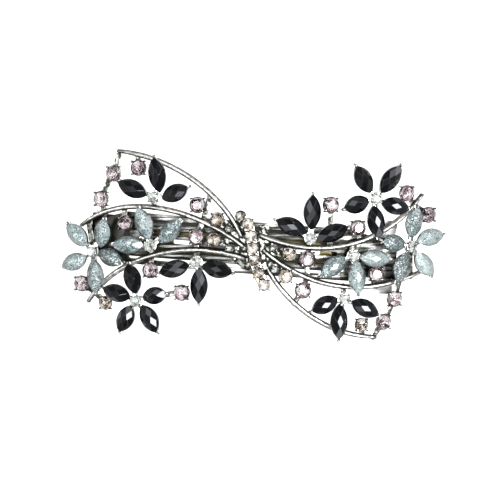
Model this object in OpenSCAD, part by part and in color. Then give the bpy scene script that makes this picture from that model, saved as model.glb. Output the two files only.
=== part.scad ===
// Bow barrette: a French clip that carries a cast bow of six wire ribs, ten stone flowers,
// claw-set round stones and a stone knot. Everything is bent to one radius over the head.
// Units are millimetres. +X runs along the bow, +Y across it, +Z out of its face.
// The origin is under the middle of the bow, on the surface that the closed clip lies on.

/* [Bend] */
// Radius of the clip plate's top face, which every layer above and below it follows
bend_r = 110; // [90:1:150]
// Distance of the clip's middle line from the bow's middle
clip_shift = -0.6; // [-1:0.1:0]
// Angle of the clip under the bow, seen from above
clip_turn = -4.5; // [-8:0.5:0]

/* [Ribs] */
// Width of a rib at its foot
rib_w = 1.2; // [0.8:0.1:1.5]
// Height of a rib
rib_h = 1.3; // [0.9:0.1:1.6]

/* [Underframe] */
// Width of a brace under the ribs
brace_w = 1.2; // [0.8:0.1:1.6]
// Thickness of the braces
brace_t = 0.8; // [0.5:0.1:1.2]
// Solder or glue film between pieces that are stacked on each other
film = 0.1; // [0.05:0.01:0.15]

/* [Flowers] */
// Width of a petal stone
petal_w = 3.9; // [3.2:0.1:4.2]
// Height of a petal stone
petal_h = 1.9; // [1.4:0.1:2.4]
// Height of a petal stone's girdle
petal_girdle = 0.6; // [0.4:0.1:0.9]
// Upward tilt of the petals' outer tips
petal_lift = 5; // [0:1:9]
// Thickness of the tray under a flower
tray_t = 0.5; // [0.4:0.1:0.8]
// Diameter of the round stone at a flower's heart
heart_d = 2.2; // [1.6:0.1:2.4]

/* [Round stones] */
// Diameter of the pink stones
pink_d = 3.5; // [2.8:0.1:3.7]
// Diameter of the champagne stones in the wings
champagne_d = 3; // [2.4:0.1:3.4]
// Diameter of the small smoke stones beside the knot
smoke_d = 1.6; // [1.2:0.1:1.8]
// Diameter of the stone that peeps out behind the knot's upper end
peep_d = 1.9; // [1.6:0.1:2]
// Radius of a claw's wire
claw_r = 0.24; // [0.18:0.02:0.3]

/* [Knot] */
// Diameter of the stones on the knot
knot_d = 2.5; // [2:0.1:2.6]
// Number of stones on the knot
knot_stones_n = 6; // [4:1:6]
// Width of the band under them
knot_w = 2.6; // [2.2:0.1:3.4]
// Thickness of that band
knot_t = 1.6; // [1.2:0.1:2]

/* [Clip] */
// Length of the clip plate from the bow's middle to the latch end
latch_len = 32.5; // [30:0.5:36]
// Distance of the hinge pin from the bow's middle
hinge_u = 35; // [32:0.5:38]
// Width of the clip plate
clip_w = 11.6; // [10.6:0.1:13]
// Thickness of the clip plate
plate_t = 0.6; // [0.5:0.05:0.8]
// Depth of the plate's turned-down edges, from its top face
flange_h = 1.6; // [1.2:0.1:2]
// Depth of the hinge axis under the plate's top face
hinge_drop = 3.7; // [3.4:0.1:6]
// Radius of the hinge pin
pin_r = 0.6; // [0.5:0.05:0.8]
// Thickness of the clasp arm
arm_t = 0.6; // [0.5:0.05:0.8]
// Width of the clasp arm
arm_w = 9; // [8:0.1:9.4]
// Thickness of the tension spring
spring_t = 0.35; // [0.25:0.05:0.45]
// Width of the tension spring
spring_w = 4.6; // [3.6:0.1:5]
// How far a release tab's wing reaches from the clip's middle line
wing_reach = 8.3; // [7:0.1:9.5]

/* [Hidden] */

$fn = 40;
steel = "silver";
antique = "lightslategray";
far = 200;           // larger than the part, for blocks that only cut

// Heights over the clip plate's top face, layer by layer
brace_level = film;
rib_level = brace_level + brace_t + film;
tray_level = rib_level + rib_h + film;
petal_level = tray_level + tray_t + film / 2;
face_level = 3;      // layouts in plan are true at this height

// Hinge and latch of the clip, along the clip (u) and up (z)
ear_r = 1.5;
ear_t = 0.8;
ear_v = clip_w / 2 - 1.4;
pin_play = 0.05;
knuckle_r = pin_r + 0.6;
hinge_z = ear_r;
axis_z = hinge_z + hinge_drop - sqrt(bend_r * bend_r - hinge_u * hinge_u);

// Rib centre lines in plan: cubic curves from the wing's tip (left) or the knot (right)
RIB_LEFT_OUTER = [[-30, 21], [-20, 20], [-8, 14], [-2.4, 2]];
RIB_LEFT_MIDDLE = [[-38.5, 4.2], [-29, 12.2], [-13, 8.7], [-1.9, -0.2]];
RIB_LEFT_INNER = [[-37, -13], [-31, -2.5], [-15, 2], [-1.7, -2.8]];
RIB_RIGHT_OUTER = [[3.2, -5], [6.8, -11.8], [15.3, -20.2], [27.5, -20.7]];
RIB_RIGHT_MIDDLE = [[2.1, -0.8], [13, -10.6], [26, -11.5], [38, -6.1]];
RIB_RIGHT_INNER = [[1.5, 2.4], [13.5, -3], [29, -1.3], [38, 11.3]];

// A flower: the heart stone's place, then its petals as x, y, direction and length
LEFT_TOP = [[-22, 10.8], [[-21, 15.8, 99, 8], [-26.5, 12.7, 155, 7.2], [-17, 11.8, 25, 6.5]]];
LEFT_MID = [[-22.8, 0], [[-24, 5, 110, 7.5], [-27.6, 0.2, 180, 7.2], [-18.2, 3.3, 45, 7]]];
LEFT_END = [[-35.9, -1.5], [[-39.1, 2.2, 133, 6.8], [-33.3, 2.7, 82, 6.5], [-31.5, -2.7, -23, 6.3],
                            [-35, -7, -84, 7.5], [-39.8, -3.9, -158, 6.2]]];
LEFT_BOTTOM = [[-26, -12.3], [[-26.6, -7.3, 105, 7], [-30.2, -10.6, 160, 6.5],
                              [-21.6, -11, 10, 5.5], [-28.2, -16.3, -114, 6.5],
                              [-22.8, -16.2, -60, 7]]];
LEFT_INNER = [[-12.5, -3.5], [[-17.3, -5, -165, 7], [-7.8, -5, -14, 7], [-11.8, -8.7, -90, 8]]];
RIGHT_TOP = [[27.3, 10.5], [[24.3, 14.8, 120, 7], [30.4, 14.8, 54, 7.5], [22.8, 9.2, -160, 6],
                            [31.5, 8.8, -14, 6.6], [27.2, 5.3, -80, 7.5]]];
RIGHT_MID = [[22.3, -2.2], [[17.7, -4.5, -145, 7], [23, -7, -87, 7.5], [27, -2.8, -4, 7]]];
RIGHT_END = [[35.4, -0.4], [[35.8, 5.1, 80, 7], [31.2, 0.5, 172, 5.5], [39.6, 1.7, 12, 6.4],
                            [33, -5, -107, 7], [38.2, -4.4, -54, 6.6]]];
RIGHT_BOTTOM = [[20.3, -11.8], [[15.8, -13, -155, 6.5], [19, -16.8, -92, 8],
                                [24.8, -13.9, -28, 7]]];
RIGHT_INNER = [[12.8, 1.8], [[8.4, 4.5, 157, 7.5], [13, 7.6, 88, 8], [17.5, 3, 22, 7.5]]];

LEFT_FLOWERS = [LEFT_TOP, LEFT_MID, LEFT_END, LEFT_BOTTOM, LEFT_INNER];
RIGHT_FLOWERS = [RIGHT_TOP, RIGHT_MID, RIGHT_END, RIGHT_BOTTOM, RIGHT_INNER];

// Round stones in plan
PINK_LEFT = [[-31.3, 16], [-34.2, 10.3], [-25.6, 17.3], [-12.3, 9.1], [-28.7, 5], [-12.6, 2],
             [-23, -5.5], [-15.9, -10.4], [-38.8, -8.8]];
PINK_RIGHT = [[29.5, -17.3], [11.2, -9.9], [27.7, -6.4], [12.2, -2.9], [23.5, 3.9],
              [17.4, 9.1], [39.8, 6.6], [34.7, 11.5], [32, -12.2]];
CHAMPAGNE_LEFT_TIP = [-33.3, -13];
CHAMPAGNE_RIGHT_TIP = [24.5, -17.8];
CHAMPAGNE_LEFT = [[-7.8, 6], [-8.6, 1.5]];
CHAMPAGNE_RIGHT = [[7.2, -6.6], [8, -1.6]];
SMOKE = [[-5.2, 4], [-5.3, -0.3], [4.6, -0.3], [4.7, -5]];

// Knot: its centre line in plan, and the stone that peeps out behind its upper end
KNOT = [[-1, 5], [0.2, 0.5], [-0.2, -4], [2.5, -8.5]];
PEEP = [-2.7, 6.6];

// Braces: chains of bars under the ribs, hearts and cups
CHAINS_LEFT = [[[-29.8, 20.4], [-31.3, 16], [-34.2, 10.3], [-33.2, 7.1]],
               [[-37, 5.1], [-35.9, -1.5], [-35.8, -10.7], [-38.8, -8.8]],
               [[-35.8, -10.7], CHAMPAGNE_LEFT_TIP],
               [[-25.6, 20], [-25.6, 17.3]],
               [[-22, 10.8], [-22, 8.5]],
               [[-9.4, 11.4], [-11, 5.6], [-12.6, 2], [-12.5, -3.5]],
               [[-12.3, 9.1], [-10.2, 8.5]],
               [[-28.7, 8.3], [-28.7, 5]],
               [[-22.8, 0], [-22.5, -2.4], [-23, -5.5]],
               [[-28, -4.5], [-26, -12.3], [-15.9, -10.4]]];
CHAINS_RIGHT = [[[27, -20.7], [29.5, -17.3], [32, -12.2], [33, -8.1]],
                [[24.5, -20.3], CHAMPAGNE_RIGHT_TIP],
                [[35.5, -7.2], [35.4, -0.4], [36.2, 8.8], [34.7, 11.5]],
                [[36.2, 8.8], [39.8, 6.6]],
                [[27.3, 10.5], [27.3, 2.2]],
                [[17.4, 9.2], [17.2, -0.3]],
                [[23.5, 3.9], [24, 1]],
                [[12.8, 1.8], [12.2, -2.9], [12, -7], [11.2, -9.9], [9.2, -12.8]],
                [[22.3, -2.2], [22, 0.2]],
                [[27.7, -6.6], [27.7, -9.2]],
                [[20.3, -11.8], [20.2, -9.3]]];

// ---------------------------------------------------------------- placing on the bend

// Distance along the clip of a point in plan
function along(p) = p.x * cos(clip_turn) + p.y * sin(clip_turn);

// Direction of the bend's outward normal over a point in plan
function normal_at(p, r) =
    let (lean = asin(along(p) / r))
    [sin(lean) * cos(clip_turn), sin(lean) * sin(clip_turn), cos(lean)];

// Point on the shell of radius r over a point in plan
function shell_point(p, r) = [p.x, p.y, axis_z + sqrt(r * r - along(p) * along(p))];

// Children stand on the bend at plan point p, with z counted from the plate's top face
module on_bend(p) {
    r = bend_r + face_level;
    lean = asin(along(p) / r);
    translate(shell_point(p, r))
        rotate([0, 0, clip_turn]) rotate([0, lean, 0]) rotate([0, 0, -clip_turn])
            translate([0, 0, -face_level])
                children();
}

// Layer of the bend between two heights over the plate's top face, in the clip's own frame
module bend_layer(low, high) {
    translate([0, 0, axis_z]) rotate([90, 0, 0]) difference() {
        cylinder(r = bend_r + high, h = far, center = true);
        cylinder(r = bend_r + low, h = far + 1, center = true);
    }
}

// A flat outline bent into such a layer
module bent_sheet(low, high) {
    intersection() {
        bend_layer(low, high);
        linear_extrude(far) children();
    }
}

// Children are drawn along the clip
module in_clip() {
    rotate([0, 0, clip_turn]) translate([0, clip_shift, 0]) children();
}

// Flat outlines in the bow's plan, seen in the clip's own frame
module in_plan() {
    translate([0, -clip_shift]) rotate([0, 0, -clip_turn]) children();
}

// Straight bar between two points in plan
module bar2d(from, to, w) {
    run = to - from;
    translate(from) rotate(atan2(run.y, run.x)) translate([0, -w / 2]) square([norm(run), w]);
}

// ---------------------------------------------------------------- swept strips

function bezier(c, t) =
    let (s = 1 - t)
    c[0] * s * s * s + 3 * c[1] * s * s * t + 3 * c[2] * s * t * t + c[3] * t * t * t;

function bezier_run(c, t) =
    let (s = 1 - t)
    (c[1] - c[0]) * s * s + 2 * (c[2] - c[1]) * s * t + (c[3] - c[2]) * t * t;

function unit(v) = v / norm(v);

// Half-round section of a rib, across and up, as shares of its width and height
RIB_SECTION = [[-0.5, 0], [0.5, 0], [0.5, 0.4], [0.38, 0.75], [0.15, 1], [-0.15, 1],
               [-0.38, 0.75], [-0.5, 0.4]];
BAND_SECTION = [[-0.5, 0], [0.5, 0], [0.5, 0.75], [0.42, 1], [-0.42, 1], [-0.5, 0.75]];

// One ring of a strip: its section, placed across the curve and along the bend's normal
function strip_ring(c, t, section, w, h, level) =
    let (
        p = bezier(c, t),
        r = bend_r + level,
        up = normal_at(p, r),
        run = unit(bezier_run(c, t)),
        side = unit(cross(up, [run.x, run.y, 0])),
        foot = shell_point(p, r)
    )
    [for (q = section) foot + side * q.x * w + up * q.y * h];

// Strip of a given section along a cubic curve in plan, tapered towards its ends
module strip(c, section, w, h, level, steps, end_share_0 = 1, end_share_1 = 1) {
    n = len(section);
    taper = 0.15;
    function share(t) = min(1, end_share_0 + (1 - end_share_0) * t / taper,
                            end_share_1 + (1 - end_share_1) * (1 - t) / taper);
    points = [for (i = [0:steps])
                  each strip_ring(c, i / steps, section, w * share(i / steps), h, level)];
    sides = [for (i = [0:steps - 1], j = [0:n - 1])
                 let (a = i * n + j, b = i * n + (j + 1) % n)
                 each [[a, b + n, b], [a, a + n, b + n]]];
    first = [for (j = [1:n - 2]) [0, j, j + 1]];
    last = [for (j = [1:n - 2]) [steps * n, steps * n + j + 1, steps * n + j]];
    polyhedron(points = points, faces = concat(sides, first, last));
}

// ---------------------------------------------------------------- stones

// Lens-shaped outline of a petal stone
module lens2d(length, w) {
    a = length / 2;
    b = w / 2;
    arc = (a * a + b * b) / (2 * b);
    intersection() {
        translate([0, b - arc]) circle(r = arc, $fn = 96);
        translate([0, arc - b]) circle(r = arc, $fn = 96);
    }
}

// Places of a petal stone's facets as shares of its half length and half width: a chequer of
// points on a dome, one of them at its top, whose tangent planes meet in rhombs
facet_x = 0.33;
facet_y = 0.38;
FACETS = [[0, 0],
          for (i = [-1, 1]) each [[2 * facet_x * i, 0], [0, 2 * facet_y * i]],
          for (i = [-1, 1], j = [-1, 1]) each [[facet_x * i, facet_y * j],
                                               [2 * facet_x * i, 2 * facet_y * j]]];

// Petal stone, back face down, with its long axis along x, once its first n facets are cut
module petal_stone(length, n = len(FACETS)) {
    if (n == 0) {
        linear_extrude(2 * petal_h) lens2d(length, petal_w);
    } else {
        f = FACETS[n - 1];
        a = length / 2;
        b = petal_w / 2;
        dome = petal_h - petal_girdle;
        slope = [2 * dome * f.x / a, 2 * dome * f.y / b];
        turn = atan2(slope.y, slope.x);
        difference() {
            petal_stone(length, n - 1);
            translate([f.x * a, f.y * b, petal_girdle + dome * (1 - f.x * f.x - f.y * f.y)])
                rotate([0, 0, turn]) rotate([0, atan(norm(slope)), 0])
                    translate([-length, -length, 0])
                        cube([2 * length, 2 * length, 2 * petal_h]);
        }
    }
}

// Proportions of a round stone, as shares of its diameter
crown_share = 0.22;
table_share = 0.55;
back_share = 0.26;
girdle_h = 0.25;
cup_floor = 0.35;
fine_claw_r = 0.16;     // claw wire of the small stones
knot_claw_r = 0.2;      // claw wire of the stones on the knot
post_r = 0.45;          // post under a cup that stands above the ribs
raised_level = tray_level;
boss_share = 0.62;      // a brace's boss, as a share of the bar's width
pad_r = 1.25;           // pad under a cup

// Height over its seat of a round stone's girdle
function girdle_z(d) = cup_floor + back_share * d;

// Round stone with eight crown facets, a table and a pointed back that sits in its cup
module round_stone(d) {
    z = girdle_z(d);
    crown = crown_share * d;
    slope = atan(crown / (d / 2 * (1 - table_share)));
    difference() {
        union() {
            translate([0, 0, z]) cylinder(d = d, h = girdle_h + crown);
            translate([0, 0, z - back_share * d + film])
                cylinder(d1 = 0.4 * d, d2 = d, h = back_share * d - film + 0.001);
        }
        for (i = [0:7])
            rotate([0, 0, 45 * i + 22.5]) translate([d / 2, 0, z + girdle_h])
                rotate([0, slope, 0]) translate([-d / 2, -d / 2, 0]) cube([d, d, d / 2]);
    }
}

// One claw: a post beside the stone that leans in over the crown
module claw(d, wire) {
    z = girdle_z(d) + girdle_h + wire;
    translate([d / 2 + wire + film / 2, 0, 0]) {
        translate([0, 0, cup_floor]) cylinder(r = wire, h = z - cup_floor);
        translate([0, 0, z]) {
            sphere(r = wire);
            rotate([0, -45, 0]) cylinder(r = wire, h = 2 * wire);
        }
    }
}

// Claw cup: a turned cup with a conical seat, and four claws
module claw_cup(d, wire) {
    z = girdle_z(d);
    difference() {
        cylinder(d = d + wire, h = z - film / 2);
        translate([0, 0, cup_floor]) cylinder(d1 = 0.4 * d + film, d2 = d + film, h = z - cup_floor);
    }
    for (i = [0:3]) rotate([0, 0, 90 * i + 45]) claw(d, wire);
}

module cups_at(places, d, level, wire = claw_r) {
    for (p = places) on_bend(p) translate([0, 0, level]) claw_cup(d, wire);
}

// Cups that stand above the ribs, on a post between them
module raised_cups_at(places, d, wire = claw_r) {
    for (p = places) on_bend(p) translate([0, 0, rib_level]) {
        cylinder(r = post_r, h = raised_level - rib_level + cup_floor / 2);
        translate([0, 0, raised_level - rib_level]) claw_cup(d, wire);
    }
}

module stones_at(places, d, level) {
    for (p = places) on_bend(p) translate([0, 0, level]) round_stone(d);
}

// ---------------------------------------------------------------- flowers

// Children stand on a petal's seat: x runs out along the petal, z = 0 is the tray's top
module on_petal(p) {
    length = p[3];
    on_bend([p[0], p[1]]) rotate([0, 0, p[2]])
        translate([0, 0, petal_level + length / 2 * sin(petal_lift)])
            rotate([0, -petal_lift, 0])
                children();
}

module petals(flower) {
    for (p = flower[1]) on_petal(p) petal_stone(p[3]);
}

// Tray of a flower: a seat under each petal, a hub with the heart's cup, a foot that reaches
// down to the brace, and a claw at each petal's tip
module tray(flower) {
    heart = flower[0];
    seat = 0.84;             // a seat's size, as a share of its petal's
    bar_w = 0.9;             // bar under the petal's outer tip
    foot_r = 0.8;
    hub_r = heart_d / 2 + 0.3;
    tip_r = claw_r;
    tip_h = tray_t + petal_girdle + tip_r;
    for (p = flower[1]) {
        on_petal(p) translate([0, 0, -film / 2 - tray_t]) {
            linear_extrude(tray_t) lens2d(p[3] * seat, petal_w * seat);
            translate([0, -bar_w / 2, 0]) cube([p[3] / 2 + tip_r, bar_w, tray_t]);
            translate([p[3] / 2 + tip_r + film / 2, 0, 0]) {
                cylinder(r = tip_r, h = tip_h);
                translate([0, 0, tip_h]) sphere(r = tip_r);
                translate([0, 0, tip_h]) rotate([0, -45, 0]) cylinder(r = tip_r, h = 2 * tip_r);
            }
        }
        tray_link(heart, p);
    }
    on_bend(heart) {
        translate([0, 0, rib_level]) cylinder(r = foot_r, h = tray_level + tray_t - rib_level);
        translate([0, 0, tray_level]) cylinder(r = hub_r, h = tray_t);
        translate([0, 0, tray_level + tray_t - 0.01]) claw_cup(heart_d, fine_claw_r);
    }
}

// Flat link from a flower's hub to one petal's seat
module tray_link(heart, p) {
    reach_share = 0.65;      // how much of the way to the petal's middle the link reaches
    link_w = 1;
    run = [p[0], p[1]] - heart;
    on_bend(heart) translate([0, 0, tray_level])
        linear_extrude(tray_t) bar2d([0, 0], run * reach_share, link_w);
}

module hearts(flowers) {
    for (f = flowers) on_bend(f[0]) translate([0, 0, tray_level + tray_t]) round_stone(heart_d);
}

// ---------------------------------------------------------------- bow: ribs, braces, cups

tip_share = 0.7;         // size of a rib at its outer tip, as a share of its full size

module rib(c, tip_first) {
    color(antique) strip(c, RIB_SECTION, rib_w, rib_h, rib_level, 18,
                         tip_first ? tip_share : 1, tip_first ? 1 : tip_share);
}

module rib_left_outer() { rib(RIB_LEFT_OUTER, true); }
module rib_left_middle() { rib(RIB_LEFT_MIDDLE, true); }
module rib_left_inner() { rib(RIB_LEFT_INNER, true); }
module rib_right_outer() { rib(RIB_RIGHT_OUTER, false); }
module rib_right_middle() { rib(RIB_RIGHT_MIDDLE, false); }
module rib_right_inner() { rib(RIB_RIGHT_INNER, false); }

// Braces of one wing: chains of bars, with a boss at each point and a pad under each cup
module braces(chains, cups) {
    color(antique) in_clip() bent_sheet(brace_level, brace_level + brace_t)
        in_plan() {
            for (c = chains) {
                for (i = [1:len(c) - 1]) bar2d(c[i - 1], c[i], brace_w);
                for (p = c) translate(p) circle(r = boss_share * brace_w);
            }
            for (c = cups) translate(c) circle(r = pad_r);
        }
}

module braces_left() {
    braces(CHAINS_LEFT, concat(PINK_LEFT, [CHAMPAGNE_LEFT_TIP]));
}

module braces_right() {
    braces(CHAINS_RIGHT, concat(PINK_RIGHT, [CHAMPAGNE_RIGHT_TIP]));
}

// Saddle under the knot: a plate with arms, which the ribs' inner ends and the knot stand on
SADDLE_ARMS = concat(CHAMPAGNE_LEFT, CHAMPAGNE_RIGHT, [PEEP, [2.5, 3.5], [-3, -3], [2.3, -8.3]]);

module centre_saddle() {
    color(antique) in_clip() bent_sheet(brace_level, brace_level + brace_t)
        in_plan() {
            for (p = SADDLE_ARMS) {
                bar2d([0, -1], p, 2);
                translate(p) circle(r = pad_r);
            }
            translate([0, -1]) circle(r = 4.6);
        }
}

module claw_cups_left() {
    color(antique) {
        cups_at(PINK_LEFT, pink_d, rib_level);
        cups_at([CHAMPAGNE_LEFT_TIP], champagne_d, rib_level);
        raised_cups_at(CHAMPAGNE_LEFT, champagne_d);
    }
}

module claw_cups_right() {
    color(antique) {
        cups_at(PINK_RIGHT, pink_d, rib_level);
        cups_at([CHAMPAGNE_RIGHT_TIP], champagne_d, rib_level);
        raised_cups_at(CHAMPAGNE_RIGHT, champagne_d);
    }
}

module pink_stones_left() { color("pink") stones_at(PINK_LEFT, pink_d, rib_level); }
module pink_stones_right() { color("pink") stones_at(PINK_RIGHT, pink_d, rib_level); }
module champagne_stones_left() {
    color("tan") {
        stones_at([CHAMPAGNE_LEFT_TIP], champagne_d, rib_level);
        stones_at(CHAMPAGNE_LEFT, champagne_d, raised_level);
    }
}

module champagne_stones_right() {
    color("tan") {
        stones_at([CHAMPAGNE_RIGHT_TIP], champagne_d, rib_level);
        stones_at(CHAMPAGNE_RIGHT, champagne_d, raised_level);
    }
}

module smoke_cups() { color(antique) raised_cups_at(SMOKE, smoke_d, fine_claw_r); }
module smoke_stones() { color("dimgray") stones_at(SMOKE, smoke_d, raised_level); }

module heart_stones_left() { color("white") hearts(LEFT_FLOWERS); }
module heart_stones_right() { color("white") hearts(RIGHT_FLOWERS); }

// ---------------------------------------------------------------- knot

knot_level = rib_level + knot_t + film;
function knot_places() = [for (i = [0:knot_stones_n - 1]) bezier(KNOT, i / (knot_stones_n - 1))];

module knot_band() {
    color(antique) strip(KNOT, BAND_SECTION, knot_w, knot_t, rib_level, 14);
}

module knot_cups() {
    color(antique) {
        cups_at(knot_places(), knot_d, knot_level, knot_claw_r);
        cups_at([PEEP], peep_d, rib_level, fine_claw_r);
    }
}

module knot_stones() {
    color("tan") {
        stones_at(knot_places(), knot_d, knot_level);
        stones_at([PEEP], peep_d, rib_level);
    }
}

// ---------------------------------------------------------------- petals and trays

module petals_left_top() { color("black") petals(LEFT_TOP); }
module petals_left_mid() { color("lightblue") petals(LEFT_MID); }
module petals_left_end() { color("lightblue") petals(LEFT_END); }
module petals_left_bottom() { color("black") petals(LEFT_BOTTOM); }
module petals_left_inner() { color("black") petals(LEFT_INNER); }
module petals_right_top() { color("black") petals(RIGHT_TOP); }
module petals_right_mid() { color("lightblue") petals(RIGHT_MID); }
module petals_right_end() { color("lightblue") petals(RIGHT_END); }
module petals_right_bottom() { color("black") petals(RIGHT_BOTTOM); }
module petals_right_inner() { color("black") petals(RIGHT_INNER); }

module tray_left_top() { color(antique) tray(LEFT_TOP); }
module tray_left_mid() { color(antique) tray(LEFT_MID); }
module tray_left_end() { color(antique) tray(LEFT_END); }
module tray_left_bottom() { color(antique) tray(LEFT_BOTTOM); }
module tray_left_inner() { color(antique) tray(LEFT_INNER); }
module tray_right_top() { color(antique) tray(RIGHT_TOP); }
module tray_right_mid() { color(antique) tray(RIGHT_MID); }
module tray_right_end() { color(antique) tray(RIGHT_END); }
module tray_right_bottom() { color(antique) tray(RIGHT_BOTTOM); }
module tray_right_inner() { color(antique) tray(RIGHT_INNER); }

// ---------------------------------------------------------------- clip

// Places along the clip, each counted from the piece that it has to meet
plate_end = latch_len;
hinge_end = hinge_u + ear_r;
neck_w = 2 * (ear_v + ear_t / 2);
shoulder_u = plate_end - 7;        // where the plate is down to its neck, at the latch
hinge_shoulder_u = hinge_end - 5;  // and at the hinge
shoulder_run = 3;                  // length over which the plate's edge turns in
rivet_u = hinge_u - 10;            // tension spring's rivet
sewing_u = plate_end - 4;
tab_rivet_u = plate_end - 10;      // release tabs' rivets
tab_rivet_v = 2.6;
wing_u = plate_end - 3;            // middle of the wings to pinch
finger_u = plate_end - 5.4;        // middle of the fingers that reach down to the arm
slot_u = tab_rivet_u - 4;          // latch end of the plate's long slots

plate_slot_w = 0.9;
outer_slot_v = clip_w / 2 - 1.7;
inner_slot_v = 2;
hinge_window_w = 3;                // width of the window beside the hinge, along the clip
hinge_window_v = 1.6;              // where its round ends have their middles
sewing_r = 0.9;
rivet_r = 0.55;
rivet_head = 0.4;                  // how far a rivet's head reaches past its shank
head_t = 0.3;
tab_gap = 0.15;                    // between the plate and the release tabs
tab_t = 0.5;
spring_gap = 0.3;                  // between the plate and the tension spring at its rivet
spring_play = 0.2;                 // between the tension spring and its rivet's head
knuckle_gap = 0.25;                // between the arm's knuckle and each ear

// Slot with round ends
module slot2d(from, to, w) {
    bar2d(from, to, w);
    for (p = [from, to]) translate(p) circle(d = w);
}

module plate_outline() {
    half = clip_w / 2;
    neck = neck_w / 2;
    from = -hinge_shoulder_u + shoulder_run;
    to = shoulder_u - shoulder_run;
    polygon([[-hinge_end, -neck], [-hinge_shoulder_u, -neck], [from, -half], [to, -half],
             [shoulder_u, -neck], [plate_end, -neck], [plate_end, neck], [shoulder_u, neck],
             [to, half], [from, half], [-hinge_shoulder_u, neck], [-hinge_end, neck]]);
}

// Long slots that leave the plate as a set of bars, and the window beside the hinge
module plate_slots() {
    first_u = -rivet_u - 2;
    past_rivet = -rivet_u + 3;
    window_u = -rivet_u - 5.4;
    for (s = [-1, 1]) {
        outer = s * outer_slot_v;
        inner = s * inner_slot_v;
        slot2d([first_u, outer], [slot_u + 1, outer], plate_slot_w);
        slot2d([past_rivet, inner], [-4, inner], plate_slot_w);
        slot2d([5, inner], [slot_u, inner], plate_slot_w);
    }
    slot2d([past_rivet, 0], [-14, 0], plate_slot_w);
    slot2d([10, 0], [slot_u, 0], plate_slot_w);
    slot2d([window_u, -hinge_window_v], [window_u, hinge_window_v], hinge_window_w);
}

// Ear of the hinge: a round lug under the plate
module ear(v) {
    translate([-hinge_u, v, hinge_z]) rotate([90, 0, 0])
        linear_extrude(ear_t, center = true) {
            circle(r = ear_r);
            translate([-ear_r, 0]) square([2 * ear_r, hinge_drop]);
        }
}

module base_plate() {
    half = clip_w / 2;
    from = -hinge_shoulder_u + shoulder_run;
    run = shoulder_u - shoulder_run - from;
    color(steel) in_clip() difference() {
        union() {
            bent_sheet(-plate_t, 0) difference() {
                plate_outline();
                plate_slots();
                translate([sewing_u, 0]) circle(r = sewing_r);
            }
            bent_sheet(-flange_h, -plate_t / 2)
                for (s = [-1, 1]) translate([from, s * (half - plate_t / 2) - plate_t / 2])
                    square([run, plate_t]);
            intersection() {
                union() {
                    ear(ear_v);
                    ear(-ear_v);
                }
                bend_layer(-far / 4, -plate_t / 2);
            }
        }
        translate([-hinge_u, 0, hinge_z]) rotate([90, 0, 0])
            cylinder(r = pin_r + pin_play, h = far, center = true);
        rivet_hole(-rivet_u, 0);
        rivet_hole(tab_rivet_u, tab_rivet_v);
        rivet_hole(tab_rivet_u, -tab_rivet_v);
    }
}

// Children stand on the clip at distance u along it and v across, z counted from the plate's top
module on_clip(u, v) {
    translate([0, v, axis_z]) rotate([0, asin(u / bend_r), 0]) translate([0, 0, bend_r]) children();
}

module rivet_hole(u, v, play = pin_play) {
    on_clip(u, v) translate([0, 0, -3]) cylinder(r = rivet_r + play, h = 4);
}

// Rivet that is flush with the plate's top and headed below a sheet that ends at depth
module rivet(u, v, depth) {
    on_clip(u, v) translate([0, 0, -depth]) {
        cylinder(r = rivet_r, h = depth);
        translate([0, 0, -head_t]) cylinder(r = rivet_r + rivet_head, h = head_t);
    }
}

module hinge_pin() {
    side_play = 0.2;         // between an ear and the pin's head
    head_r = pin_r + 0.3;
    length = neck_w + 2 * side_play;
    color(steel) in_clip() translate([-hinge_u, 0, hinge_z]) rotate([90, 0, 0]) {
        cylinder(r = pin_r, h = length, center = true);
        for (s = [-1, 1]) translate([0, 0, s * (length + head_t) / 2])
            cylinder(r = head_r, h = head_t, center = true);
    }
}

// Clasp arm: a nearly flat strip with a long slot, a window for the release tabs, a knuckle
// round the pin and a turned-down lip at its nose
arm_r = 1000;
arm_end = plate_end - 0.2;
arm_slot_w = 3.4;
window_l = 5;
window_w = 5.4;
nose_w = 3.6;            // width of the lip
lip_t = 0.5;
lip_h = 1;

module arm_outline() {
    half = arm_w / 2;
    inner = ear_v - ear_t / 2 - knuckle_gap;
    root = -hinge_u + knuckle_r - 0.35;
    waist = -hinge_u + 2.6;
    full = -hinge_u + 4.5;
    nose = half - 1.4;
    nose_u = arm_end - 2.3;
    polygon([[root, -inner], [waist, -inner], [full, -half], [nose_u, -half], [arm_end, -nose],
             [arm_end, nose], [nose_u, half], [full, half], [waist, inner], [root, inner]]);
}

module clasp_arm() {
    inner = ear_v - ear_t / 2 - knuckle_gap;
    color(steel) in_clip() difference() {
        union() {
            intersection() {
                translate([0, 0, hinge_z - sqrt(arm_r * arm_r - hinge_u * hinge_u)])
                    rotate([90, 0, 0]) difference() {
                        cylinder(r = arm_r + arm_t / 2, h = far, center = true, $fn = 720);
                        cylinder(r = arm_r - arm_t / 2, h = far + 1, center = true, $fn = 720);
                    }
                linear_extrude(20) difference() {
                    arm_outline();
                    slot2d([4 - rivet_u, 0], [slot_u, 0], arm_slot_w);
                    translate([finger_u, 0]) square([window_l, window_w], center = true);
                }
            }
            translate([-hinge_u, 0, hinge_z]) rotate([90, 0, 0])
                cylinder(r = knuckle_r, h = 2 * inner, center = true);
            translate([arm_end - lip_t, -nose_w / 2, hinge_z - lip_h]) cube([lip_t, nose_w, lip_h]);
        }
        translate([-hinge_u, 0, hinge_z]) rotate([90, 0, 0])
            cylinder(r = pin_r + pin_play, h = far, center = true);
    }
}

// Tension spring: a flatter bow than the plate, riveted at the hinge end, that leaves the plate
// by spring_open so that its free end can move
spring_r = 168;
spring_open = 1.5;
spring_end_u = tab_rivet_u - 3;
spring_margin = 1.4;         // how far the spring reaches past its rivet
spring_slot_w = 1.4;

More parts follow.
